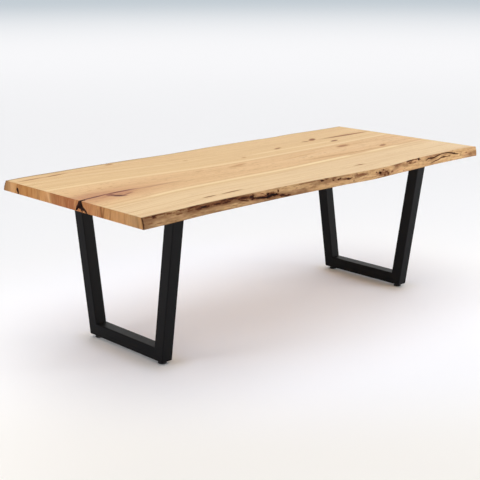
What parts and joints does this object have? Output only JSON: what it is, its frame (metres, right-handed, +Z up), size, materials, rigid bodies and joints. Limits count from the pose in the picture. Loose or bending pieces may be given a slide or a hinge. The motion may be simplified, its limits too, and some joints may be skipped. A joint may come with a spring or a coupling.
{
  "type": "live edge dining table",
  "caption": "Dining table: a thick natural-edged wood slab bolted to black square-tube trapezoid end frames that stand on round screw-in levelling feet.",
  "frame": {"origin": "on the floor under the middle of the slab's box", "axes": "+X along the slab towards its right end, +Y towards its rear live edge, +Z up"},
  "size_m": [2.265, 1.024, 0.762],
  "materials": {
    "slab_wood": "satin clear lacquer over pale sapwood and tan heartwood",
    "black_steel": "matt black powder coat",
    "zinc_steel": "bright zinc plate",
    "brass_insert": "plain",
    "dark_steel": "black zinc plate",
    "black_nylon": "moulded, matt"
  },
  "bodies": {
    "root": {"live_edge_slab": "slab_wood", "left_frame_front_upright": "black_steel", "left_frame_rear_upright": "black_steel", "left_frame_top_bar": "black_steel", "left_frame_bottom_bar": "black_steel", "left_frame_cleats": "black_steel", "left_frame_washers": "zinc_steel", "left_frame_bolts": "zinc_steel", "left_frame_inserts": "brass_insert", "left_front_foot_nut": "dark_steel", "left_rear_foot_nut": "dark_steel", "right_frame_front_upright": "black_steel", "right_frame_rear_upright": "black_steel", "right_frame_top_bar": "black_steel", "right_frame_bottom_bar": "black_steel", "right_frame_cleats": "black_steel", "right_frame_washers": "zinc_steel", "right_frame_bolts": "zinc_steel", "right_frame_inserts": "brass_insert", "right_front_foot_nut": "dark_steel", "right_rear_foot_nut": "dark_steel"},
    "left_front_foot_pad": {"left_front_foot_pad": "black_nylon"},
    "left_front_foot_stud": {"left_front_foot_stud": "dark_steel"},
    "left_rear_foot_pad": {"left_rear_foot_pad": "black_nylon"},
    "left_rear_foot_stud": {"left_rear_foot_stud": "dark_steel"},
    "right_front_foot_pad": {"right_front_foot_pad": "black_nylon"},
    "right_front_foot_stud": {"right_front_foot_stud": "dark_steel"},
    "right_rear_foot_pad": {"right_rear_foot_pad": "black_nylon"},
    "right_rear_foot_stud": {"right_rear_foot_stud": "dark_steel"}
  },
  "joints": [
    {"name": "left_front_foot_travel", "type": "slide", "parent": "root", "child": "left_front_foot_pad", "axis": [0, 0, -1], "range_m": [0, 0.01]},
    {"name": "left_front_foot_screw", "type": "hinge", "parent": "left_front_foot_pad", "child": "left_front_foot_stud", "pos_m": [-0.8275, -0.2305, 0], "axis": [0, 0, -1], "range_deg": [0, 2401]},
    {"name": "left_rear_foot_travel", "type": "slide", "parent": "root", "child": "left_rear_foot_pad", "axis": [0, 0, -1], "range_m": [0, 0.01]},
    {"name": "left_rear_foot_screw", "type": "hinge", "parent": "left_rear_foot_pad", "child": "left_rear_foot_stud", "pos_m": [-0.8275, 0.2385, 0], "axis": [0, 0, -1], "range_deg": [0, 2401]},
    {"name": "right_front_foot_travel", "type": "slide", "parent": "root", "child": "right_front_foot_pad", "axis": [0, 0, -1], "range_m": [0, 0.01]},
    {"name": "right_front_foot_screw", "type": "hinge", "parent": "right_front_foot_pad", "child": "right_front_foot_stud", "pos_m": [0.8275, -0.2305, 0], "axis": [0, 0, -1], "range_deg": [0, 2401]},
    {"name": "right_rear_foot_travel", "type": "slide", "parent": "root", "child": "right_rear_foot_pad", "axis": [0, 0, -1], "range_m": [0, 0.01]},
    {"name": "right_rear_foot_screw", "type": "hinge", "parent": "right_rear_foot_pad", "child": "right_rear_foot_stud", "pos_m": [0.8275, 0.2385, 0], "axis": [0, 0, -1], "range_deg": [0, 2401]}
  ],
  "couplings": [
    {"joint": "left_front_foot_screw", "follows": "left_front_foot_travel", "rad_per_m": 4188.8},
    {"joint": "left_rear_foot_screw", "follows": "left_rear_foot_travel", "rad_per_m": 4188.8},
    {"joint": "right_front_foot_screw", "follows": "right_front_foot_travel", "rad_per_m": 4188.8},
    {"joint": "right_rear_foot_screw", "follows": "right_rear_foot_travel", "rad_per_m": 4188.8}
  ]
}
